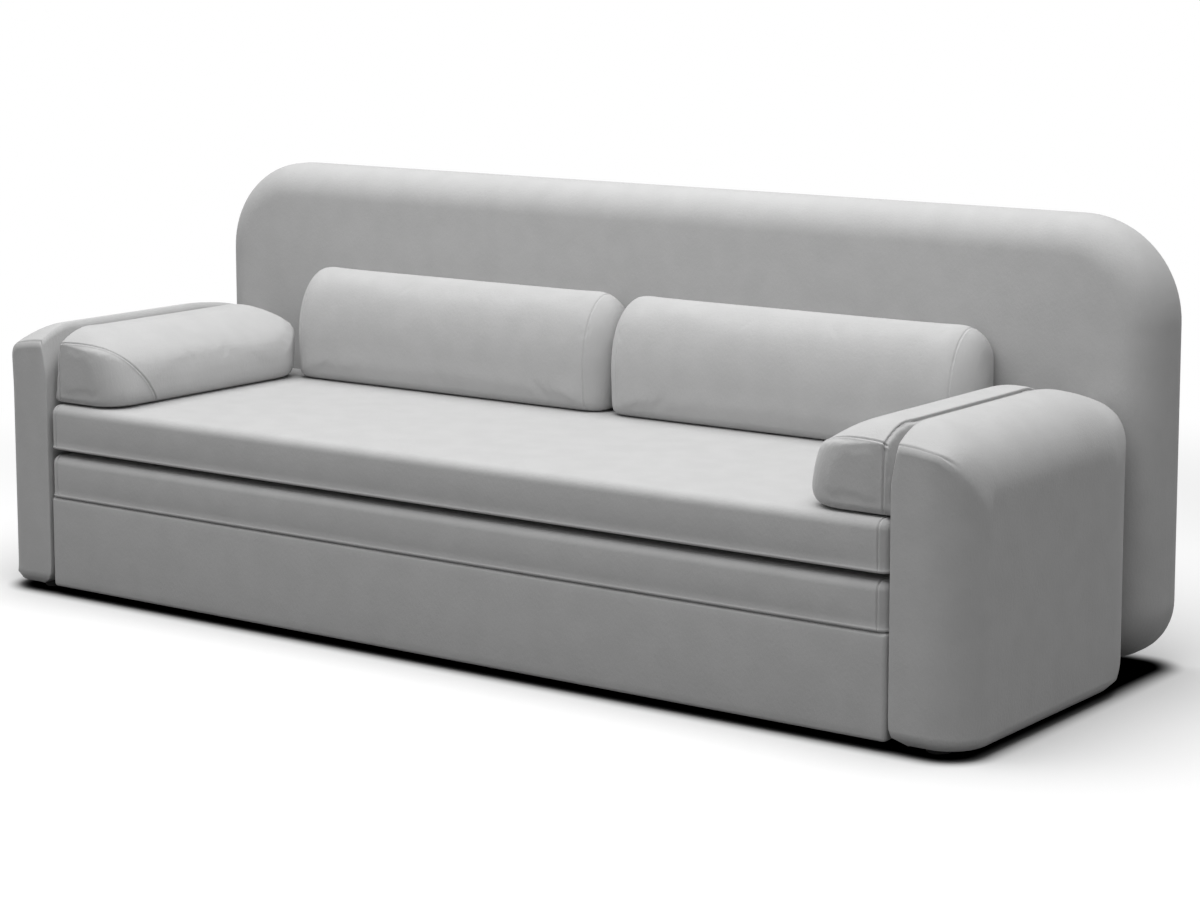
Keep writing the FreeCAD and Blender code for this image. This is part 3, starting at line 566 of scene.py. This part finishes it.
def back_cover():
    """The tall rounded slab behind the seat, a little thinner towards its edges."""
    low, high = node_box("back_upholstery")
    bm = block(low, high)
    level = (low.z + high.z) / 2
    for radius, segments, is_top in (
        (back_top_radius, 22, True),
        (back_bottom_radius, 16, False),
    ):
        corners = [
            edge
            for edge in bm.edges
            if abs((edge.verts[0].co - edge.verts[1].co).y) > 1
            and (edge.verts[0].co.z > level) == is_top
            and min(abs(edge.verts[0].co.x - low.x), abs(edge.verts[0].co.x - high.x)) < 1
            and min(abs(edge.verts[0].co.z - low.z), abs(edge.verts[0].co.z - high.z)) < 1
        ]
        rounded_edges(bm, corners, radius, segments)
    for sign in (1, -1):
        bm.normal_update()
        rounded_edges(bm, edges_between(bm, 1, sign), back_edge_radius, 14)
    cut_across(bm, ALONG_X, even_places(low.x, high.x, wide_step, (back_edge_radius,)))
    cut_across(bm, ALONG_Z, even_places(low.z, high.z, wide_step, (back_edge_radius,)))
    for vert in bm.verts:
        from_side = min(vert.co.x - low.x, high.x - vert.co.x)
        from_end = min(high.z - vert.co.z, vert.co.z - low.z)
        inside = min(from_side, from_end) / back_fall_width
        fall = back_fall * (1 - smooth_step(inside))
        from_rear = (high.y - vert.co.y) / (high.y - low.y)
        vert.co.y += fall * (2 * from_rear - 1)
    press(bm, ALONG_Y, high.y - back_seam_place, seam_profile)
    return finished("back_cover", bm, fabric)


# Pads with one round side: the arms and the arm bolsters, drawn for the right side
def drawn_round(a, b):
    """Turns a corner square into a quarter round. a and b go from 0 to 1 towards its sides."""
    length = math.hypot(a, b)
    if length == 0:
        return a, b
    share = max(a, b) / length
    return a * share, b * share


def draw_half_round(bm, form):
    """Gives a block the form of a pad that is round along one top edge. The block's x goes from
    0 at the seamed side to 1 at the round side, y is in place, and z goes from 0 to 1. Gives how
    far each point on the block's faces lies from the pad's sewn edges."""
    width = form["round_x"] - form["seam_x"]
    middle_x = form["seam_x"] + width / 2
    middle_y = (form["front"] + form["rear"]) / 2
    from_edges = {}
    for vert in bm.verts:
        reach, y, rise = vert.co
        across = math.sin(reach * math.pi / 2)
        along = y - form["front"]
        x = form["seam_x"] + width * across
        for from_round, end, foot_radius, top_radius in form["corners"]:
            radius = foot_radius + (top_radius - foot_radius) * max(rise, 0.0) ** 3
            side = form["round_x"] if from_round else form["seam_x"]
            a = 1 - abs(side - x) / radius
            b = 1 - abs(end - y) / radius
            if a > 0 and b > 0:
                drawn_a, drawn_b = drawn_round(a, b)
                x += (drawn_a - a) * radius * math.copysign(1, side - middle_x)
                y += (drawn_b - b) * radius * math.copysign(1, end - middle_y)
        top = form["height"](x, y)
        z = form["bottom"] + (top - form["bottom"]) * rise
        from_edges[vert] = (abs(width) * across, along, top - z)
        lean = smooth_lean(rise, form["lean_from"])
        wall = form["wall_x"] + (form["seam_x"] - form["wall_x"]) * lean
        x = form["round_x"] + (x - form["round_x"]) * (form["round_x"] - wall) / width
        above = z - form["bottom"]
        foot_seam, foot_round, foot_front, foot_rear = form["feet"]
        inward = math.copysign(1, width)
        seam_inset = round_inset(above, foot_seam) * inward
        round_inset_x = round_inset(above, foot_round) * inward
        share_x = (x - wall) / (form["round_x"] - wall)
        x += seam_inset * (1 - share_x) - round_inset_x * share_x
        share_y = (y - form["front"]) / (form["rear"] - form["front"])
        y += round_inset(above, foot_front) * (1 - share_y)
        y -= round_inset(above, foot_rear) * share_y
        vert.co = (x, y, z)
    return from_edges


def sew_edges(bm, from_edges, profile, fades_from, fades_to):
    """Sews a pad's top edges at its front and its seamed side, and its upright front edge. The
    front top seam ends between two places along x."""
    bm.normal_update()
    offsets, heights = zip(*profile)
    moves = []
    for vert, (across, along, below) in from_edges.items():
        on_top, on_front, on_side = below < 0.01, along < 0.01, across < 0.01
        depths = [0.0]
        fade = smooth_step((fades_to - vert.co.x) / (fades_to - fades_from))
        if on_top or on_front:
            depths.append(fade * float(np.interp(below - along, offsets, heights)))
        if on_top or on_side:
            depths.append(float(np.interp(below - across, offsets, heights)))
        if on_front or on_side:
            depths.append(float(np.interp(along - across, offsets, heights)))
        moves.append((vert, vert.normal * max(depths, key=abs)))
    for vert, move in moves:
        vert.co += move


def smooth_lean(rise, start):
    if rise <= start:
        return 0.0
    return (rise - start) / (1 - start)


def end_share(distance, reach):
    """From 1 at an end to 0 where its rounding stops."""
    return max(0.0, 1 - distance / reach) ** 2


# Arms
arm_height = 558.0
arm_front_drop = 32.0
arm_front_drop_length = 90.0
arm_rear_drop = 47.0
arm_rear_drop_length = 240.0
arm_shoulder_rise = 115.0
arm_front_shoulder_rise = 62.0
arm_seam_x = 1017.0
arm_front_radius = 80.0
arm_rear_radius = 139.0
arm_brow_radius = 32.0
arm_brow_from = 1085.0
arm_nape_radius = 20.0
arm_nape_fade = 40.0
arm_seam_corner_radius = 5.0
arm_lean_from = 0.87
arm_seam_fades = (1100.0, 1126.0)

# Radii of the foot at the seamed side, the round side, the front and the rear
arm_feet = (32.0, 8.0, 12.0, 45.0)

# Shares of the arm's height: the even step, and cuts near its top and foot
arm_rise_step = 0.026
arm_rise_cuts = (0.026, 0.036, 0.048, 0.062, 0.078)


def inside_corner(x, y, centre_x, centre_y, radius):
    """How far a point lies inside a quarter round, or its radius outside the corner."""
    away = max(0.0, x - centre_x), max(0.0, y - centre_y)
    return radius - math.hypot(*away)


def arm_height_over(front, outer, rear):
    def height(x, y):
        reach = min(max((x - arm_seam_x) / (outer - arm_seam_x), 0.0), 1.0)
        at_front = end_share(y - front, arm_front_drop_length)
        at_rear = end_share(rear - y, arm_rear_drop_length)
        top = arm_height - arm_front_drop * at_front - arm_rear_drop * at_rear
        rise = arm_shoulder_rise + (arm_front_shoulder_rise - arm_shoulder_rise) * at_front
        front_centre = front + arm_front_radius
        from_front = inside_corner(x, -y, outer - arm_front_radius, -front_centre, arm_front_radius)
        from_rear = inside_corner(
            x, y, outer - arm_rear_radius, rear - arm_rear_radius, arm_rear_radius
        )
        brow = round_inset(max(from_front, 0.0), arm_brow_radius)
        brow_share = smooth_step((x - arm_brow_from) / (outer - arm_brow_from))
        brow *= brow_share if y < front_centre else 0.0
        nape = round_inset(max(from_rear, 0.0), arm_nape_radius)
        nape_share = smooth_step((x - arm_seam_x) / arm_nape_fade)
        nape *= nape_share if y > rear - arm_rear_radius else 0.0
        return top - rise + rise * math.sqrt(1 - reach**2) - brow - nape

    return height


def places_by_angle(width, distances, count):
    """Shares of a quarter turn from the seamed side: a few near the seam, and even steps."""
    near = [math.asin(distance / width) * 2 / math.pi for distance in distances]
    return near + [near[-1] + (1 - near[-1]) * i / count for i in range(1, count + 1)]


seam_distances = (0.0, 1.2, 2.4, 3.6, 4.8, 6.5, 9.0)


def arm_pad():
    low, high = node_box("arm_upholstery_right")
    form = {
        "front": low.y,
        "rear": high.y,
        "bottom": low.z,
        "wall_x": low.x,
        "seam_x": arm_seam_x,
        "round_x": high.x,
        "corners": (
            (True, low.y, arm_front_radius, arm_front_radius),
            (True, high.y, arm_rear_radius, arm_rear_radius),
            (False, low.y, arm_seam_corner_radius, arm_seam_corner_radius),
        ),
        "height": arm_height_over(low.y, high.x, high.y),
        "lean_from": arm_lean_from,
        "feet": arm_feet,
    }
    tall = arm_height - low.z
    near_top = [distance / tall for distance in seam_distances]
    x_places = places_by_angle(high.x - arm_seam_x, seam_distances, 18)
    y_places = even_places(low.y, high.y, grid_step, seam_distances)
    z_places = even_places(0.0, 1.0, arm_rise_step, (*near_top, *arm_rise_cuts))
    bm = gridded_block(x_places, y_places, z_places)
    from_edges = draw_half_round(bm, form)
    sew_edges(bm, from_edges, edge_seam_profile, *arm_seam_fades)
    return bm


def arm_covers():
    right = arm_pad()
    left = other_side(right)
    return (
        finished("arm_cover_right", right, fabric),
        finished("arm_cover_left", left, fabric),
    )


# The bolsters' cloth
bolster_voxel = 6.0
bolster_reach = 4.0
bolster_foot_fade = 25.0
bolster_rear_fade = 20.0

# Arm bolsters
arm_bolster_heights = (156.0, 122.0)
arm_bolster_rises = (108.0, 78.0)
arm_bolster_powers = (1.9, 2.5)
arm_bolster_end_length = 90.0
arm_bolster_lean = 18.0
arm_bolster_belly_radius = 60.0
arm_bolster_cap_radius = 95.0
arm_bolster_rear_radius = 85.0
arm_bolster_seam_radius = 6.0
arm_bolster_feet = (6.0, 32.0, 14.0, 14.0)
arm_bolster_front_inset = 3.0
arm_bolster_inner_inset = 2.0
arm_bolster_step = 12.0
arm_bolster_rise_step = 0.07
arm_bolster_rise_cuts = (0.0, 0.02, 0.05, 0.09, 0.13, 0.18)
cap_fade_from = 20.0
cap_fade_length = 90.0
cap_freedom = 0.25
cap_seam_foot_fade = 10.0
cap_seam_side_fade = 8.0
cap_seam_corner = Vector((982.0, -404.0, 522.0))
cap_seam_facing = Vector((0.097, 0.770, 0.631))


def arm_bolster_height_over(bottom, inner, seam_x, front, rear):
    def height(x, y):
        reach = min(max((seam_x - x) / (seam_x - inner), 0.0), 1.0)
        share = end_share(min(y - front, rear - y), arm_bolster_end_length)
        top = arm_bolster_heights[0] + (arm_bolster_heights[1] - arm_bolster_heights[0]) * share
        rise = arm_bolster_rises[0] + (arm_bolster_rises[1] - arm_bolster_rises[0]) * share
        power = arm_bolster_powers[0] + (arm_bolster_powers[1] - arm_bolster_powers[0]) * share
        return bottom + top - rise + rise * max(0.0, 1 - reach**power) ** (1 / power)

    return height


def arm_bolster_form():
    low, high = node_box("arm_bolster_right")
    front = low.y + arm_bolster_front_inset
    inner = low.x + arm_bolster_inner_inset
    seam_x = high.x - arm_bolster_lean
    return {
        "front": front,
        "rear": high.y,
        "bottom": low.z,
        "wall_x": high.x,
        "seam_x": seam_x,
        "round_x": inner,
        "corners": (
            (True, front, arm_bolster_belly_radius, arm_bolster_cap_radius),
            (True, high.y, arm_bolster_rear_radius, arm_bolster_rear_radius),
            (False, front, arm_bolster_seam_radius, arm_bolster_seam_radius),
            (False, high.y, arm_bolster_seam_radius, arm_bolster_seam_radius),
        ),
        "height": arm_bolster_height_over(low.z, inner, seam_x, front, high.y),
        "lean_from": 0.0,
        "feet": arm_bolster_feet,
    }


def arm_bolster_pad(form):
    x_places = places_by_angle(form["seam_x"] - form["round_x"], (0.0,), 16)
    y_places = even_places(form["front"], form["rear"], arm_bolster_step)
    z_places = even_places(0.0, 1.0, arm_bolster_rise_step, arm_bolster_rise_cuts)
    bm = gridded_block(x_places, y_places, z_places)
    draw_half_round(bm, form)
    bm.normal_update()
    return bm


def arm_bolster_covers():
    form = arm_bolster_form()
    cap_turned = cap_seam_facing.normalized()

    def freedom(co):
        from_cap = smooth_step((co.y - form["front"] - cap_fade_from) / cap_fade_length)
        from_foot = smooth_step((co.z - form["bottom"]) / bolster_foot_fade)
        return from_foot * (cap_freedom + (1 - cap_freedom) * from_cap)

    def above_foot(co):
        return smooth_step((co.z - form["bottom"]) / cap_seam_foot_fade)

    def before_side(co):
        if co.y >= 0:
            return 0.0
        inward = form["seam_x"] + cap_seam_side_fade / 2 - co.x
        return smooth_step(inward / cap_seam_side_fade) * above_foot(co)

    bm = swollen(arm_bolster_pad(form), bolster_voxel, bolster_reach, freedom)
    press(bm, ALONG_X, form["seam_x"], edge_seam_profile, above_foot)
    press(bm, -cap_turned, -cap_seam_corner.dot(cap_turned), edge_seam_profile, before_side)
    left = other_side(bm)
    return (
        finished("arm_bolster_cover_right", bm, fabric),
        finished("arm_bolster_cover_left", left, fabric),
    )


# Back bolsters
back_bolster_step = 20.0
back_bolster_depth_step = 0.06
back_bolster_rise_step = 0.04
back_bolster_seam_place = 40.0

# How far the bolster draws in towards its two ends
back_bolster_top_end = 60.0
back_bolster_front_end = 58.0
back_bolster_rear_end = 28.0
back_bolster_foot_end = 24.0

# Depth and height of its long rounded edges
back_bolster_top_front = (81.0, 150.0)
back_bolster_top_rear = (46.0, 48.0)
back_bolster_foot_front = (25.0, 25.0)
back_bolster_foot_rear = (15.0, 15.0)


def back_bolster_pad():
    low, high = node_box("back_bolster_right")
    angles = [math.radians(angle) for angle in (0, 12, 24, 36, 48, 60, 72, 84, 90)]
    near = [back_bolster_top_end * (1 - math.cos(angle)) for angle in angles]
    x_places = even_places(low.x, high.x, back_bolster_step, tuple(near))
    y_places = even_places(0.0, 1.0, back_bolster_depth_step)
    z_places = even_places(0.0, 1.0, back_bolster_rise_step)
    bm = gridded_block(x_places, y_places, z_places)
    size = high - low
    corners = (
        (0.0, 1.0, back_bolster_top_front),
        (1.0, 1.0, back_bolster_top_rear),
        (0.0, 0.0, back_bolster_foot_front),
        (1.0, 0.0, back_bolster_foot_rear),
    )
    for vert in bm.verts:
        x, along, upward = vert.co
        for corner_y, corner_z, (depth, height) in corners:
            reach_y = depth / size.y
            reach_z = height / size.z
            a = 1 - abs(corner_y - along) / reach_y
            b = 1 - abs(corner_z - upward) / reach_z
            if a > 0 and b > 0:
                drawn_a, drawn_b = drawn_round(a, b)
                along += (drawn_a - a) * reach_y * math.copysign(1, corner_y - 0.5)
                upward += (drawn_b - b) * reach_z * math.copysign(1, corner_z - 0.5)
        distance = min(x - low.x, high.x - x)
        front = low.y + round_inset(distance, back_bolster_front_end)
        rear = high.y - round_inset(distance, back_bolster_rear_end)
        bottom = low.z + round_inset(distance, back_bolster_foot_end)
        top = high.z - round_inset(distance, back_bolster_top_end)
        vert.co = (x, front + (rear - front) * along, bottom + (top - bottom) * upward)
    return bm, low, high


def back_bolster_covers():
    bm, low, high = back_bolster_pad()

    def freedom(co):
        from_foot = smooth_step((co.z - low.z) / bolster_foot_fade)
        return from_foot * smooth_step((high.y - co.y) / bolster_rear_fade)

    bm = swollen(bm, bolster_voxel, bolster_reach, freedom)
    for place in (low.x + back_bolster_seam_place, high.x - back_bolster_seam_place):
        press(bm, ALONG_X, place, faint_seam_profile)
    left = other_side(bm)
    return (
        finished("back_bolster_cover_right", bm, fabric),
        finished("back_bolster_cover_left", left, fabric),
    )


def place_soft_piece(piece, node, body):
    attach(piece, body)
    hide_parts(node)


place_soft_piece(back_cover(), "back_upholstery", "sofa_frame")
place_soft_piece(seat_cover(), "seat_upholstery", "sofa_frame")
place_soft_piece(bed_mattress_cover(), "bed_mattress", "pull_out_bed")
place_soft_piece(bed_front_cover(), "bed_front_upholstery", "pull_out_bed")
for side, cover in zip(("right", "left"), arm_covers()):
    place_soft_piece(cover, "arm_upholstery_" + side, "sofa_frame")
for side, cover in zip(("right", "left"), back_bolster_covers()):
    place_soft_piece(cover, "back_bolster_" + side, "back_bolster_" + side)
for side, cover in zip(("right", "left"), arm_bolster_covers()):
    place_soft_piece(cover, "arm_bolster_" + side, "arm_bolster_" + side)


# Floor with a painted shadow round the sofa, lamps and the white surroundings
floor_size = 60.0
# Painted shadow on the floor: the rounding of its corners, and how far it fades on either side of
# the sofa's outline
painted_shadow_inset = 0.08
painted_shadow_reach = 0.03
world_strength = 0.36
lamp_power = 190.0


def seen_directly(node_tree):
    """1 where the camera sees a surface itself, in a mirror or through glass."""
    rays = node_tree.nodes.new("ShaderNodeLightPath")
    value = rays.outputs["Is Camera Ray"]
    for other in ("Is Glossy Ray", "Is Transmission Ray"):
        either = node_tree.nodes.new("ShaderNodeMath")
        either.operation = "MAXIMUM"
        node_tree.links.new(value, either.inputs[0])
        node_tree.links.new(rays.outputs[other], either.inputs[1])
        value = either.outputs["Value"]
    return value


def painted_shadow_share(node_tree, place):
    """Painted shadow: from 0 under the sofa to 1 a short way out from its outline on the floor."""
    low, high = (Vector(corner) for corner in cad_box)
    nodes = node_tree.nodes
    centred = nodes.new("ShaderNodeVectorMath")
    centred.operation = "SUBTRACT"
    centred.inputs[1].default_value = (low + high) / 2
    node_tree.links.new(place, centred.inputs[0])
    folded = nodes.new("ShaderNodeVectorMath")
    folded.operation = "ABSOLUTE"
    node_tree.links.new(centred.outputs["Vector"], folded.inputs[0])
    outside = nodes.new("ShaderNodeVectorMath")
    outside.operation = "SUBTRACT"
    outside.inputs[1].default_value = (high - low) / 2 - Vector((painted_shadow_inset, painted_shadow_inset, 0))
    node_tree.links.new(folded.outputs["Vector"], outside.inputs[0])
    clipped = nodes.new("ShaderNodeVectorMath")
    clipped.operation = "MAXIMUM"
    clipped.inputs[1].default_value = (0, 0, 0)
    node_tree.links.new(outside.outputs["Vector"], clipped.inputs[0])
    flat = nodes.new("ShaderNodeVectorMath")
    flat.operation = "MULTIPLY"
    flat.inputs[1].default_value = (1, 1, 0)
    node_tree.links.new(clipped.outputs["Vector"], flat.inputs[0])
    distance = nodes.new("ShaderNodeVectorMath")
    distance.operation = "LENGTH"
    node_tree.links.new(flat.outputs["Vector"], distance.inputs[0])
    share = nodes.new("ShaderNodeMapRange")
    share.interpolation_type = "SMOOTHSTEP"
    share.inputs["From Min"].default_value = painted_shadow_inset - painted_shadow_reach
    share.inputs["From Max"].default_value = painted_shadow_inset + painted_shadow_reach
    node_tree.links.new(distance.outputs["Value"], share.inputs["Value"])
    return share.outputs["Result"]


def floor_material():
    """White where it is seen, darkened by a painted shadow along the sofa's outline, and fading to
    plain white away from the sofa. It sends little light back up."""
    material, shader, place = new_material("floor")
    nodes = material.node_tree.nodes
    links = material.node_tree.links
    seen = seen_directly(material.node_tree)
    shade = nodes.new("ShaderNodeMixRGB")
    shade.inputs["Color1"].default_value = (0.2, 0.2, 0.2, 1)
    shade.inputs["Color2"].default_value = (0.9, 0.9, 0.9, 1)
    links.new(seen, shade.inputs["Fac"])
    # Painted shadow: the floor's colour is darkened along the sofa's outline
    painted_shadow_node = nodes.new("ShaderNodeMixRGB")
    painted_shadow_node.blend_type = "MULTIPLY"
    painted_shadow_node.inputs["Fac"].default_value = 1.0
    links.new(shade.outputs["Color"], painted_shadow_node.inputs["Color1"])
    links.new(painted_shadow_share(material.node_tree, place), painted_shadow_node.inputs["Color2"])
    links.new(painted_shadow_node.outputs["Color"], shader.inputs["Base Color"])
    shader.inputs["Roughness"].default_value = 1.0
    shader.inputs["Specular IOR Level"].default_value = 0.0
    distance = nodes.new("ShaderNodeVectorMath")
    distance.operation = "LENGTH"
    links.new(place, distance.inputs[0])
    far = nodes.new("ShaderNodeMapRange")
    far.interpolation_type = "SMOOTHSTEP"
    far.inputs["From Min"].default_value = 1.5
    far.inputs["From Max"].default_value = 3.0
    links.new(distance.outputs["Value"], far.inputs["Value"])
    amount = nodes.new("ShaderNodeMath")
    amount.operation = "MULTIPLY"
    links.new(far.outputs["Result"], amount.inputs[0])
    links.new(seen, amount.inputs[1])
    white = nodes.new("ShaderNodeEmission")
    mix = nodes.new("ShaderNodeMixShader")
    links.new(amount.outputs["Value"], mix.inputs["Fac"])
    links.new(shader.outputs["BSDF"], mix.inputs[1])
    links.new(white.outputs["Emission"], mix.inputs[2])
    links.new(mix.outputs["Shader"], nodes["Material Output"].inputs["Surface"])
    return material


def floor():
    bm = bmesh.new()
    bmesh.ops.create_grid(bm, x_segments=1, y_segments=1, size=floor_size / 2 / mm)
    ground = finished("floor", bm, floor_material())


floor()


def surroundings():
    world = bpy.data.worlds.new("surroundings")
    world.use_nodes = True
    scene.world = world
    nodes = world.node_tree.nodes
    links = world.node_tree.links
    background = nodes["Background"]
    strength = nodes.new("ShaderNodeMapRange")
    strength.inputs["To Min"].default_value = world_strength
    strength.inputs["To Max"].default_value = 1.0
    links.new(seen_directly(world.node_tree), strength.inputs["Value"])
    links.new(strength.outputs["Result"], background.inputs["Strength"])
    background.inputs["Color"].default_value = (1, 1, 1, 1)


surroundings()


def lamp(name, place, size, power, aim=(0, 0, 0)):
    light = bpy.data.lights.new(name, "AREA")
    light.shape = "RECTANGLE"
    light.size, light.size_y = size
    light.energy = power
    holder = bpy.data.objects.new(name, light)
    scene.collection.objects.link(holder)
    holder.location = place
    holder.rotation_euler = (Vector(aim) - Vector(place)).to_track_quat("-Z", "Y").to_euler()


lamp("overhead", (0.0, -0.6, 3.6), (5.0, 4.0), lamp_power, (0.0, -0.3, 0.0))

scene.view_settings.view_transform = "Standard"
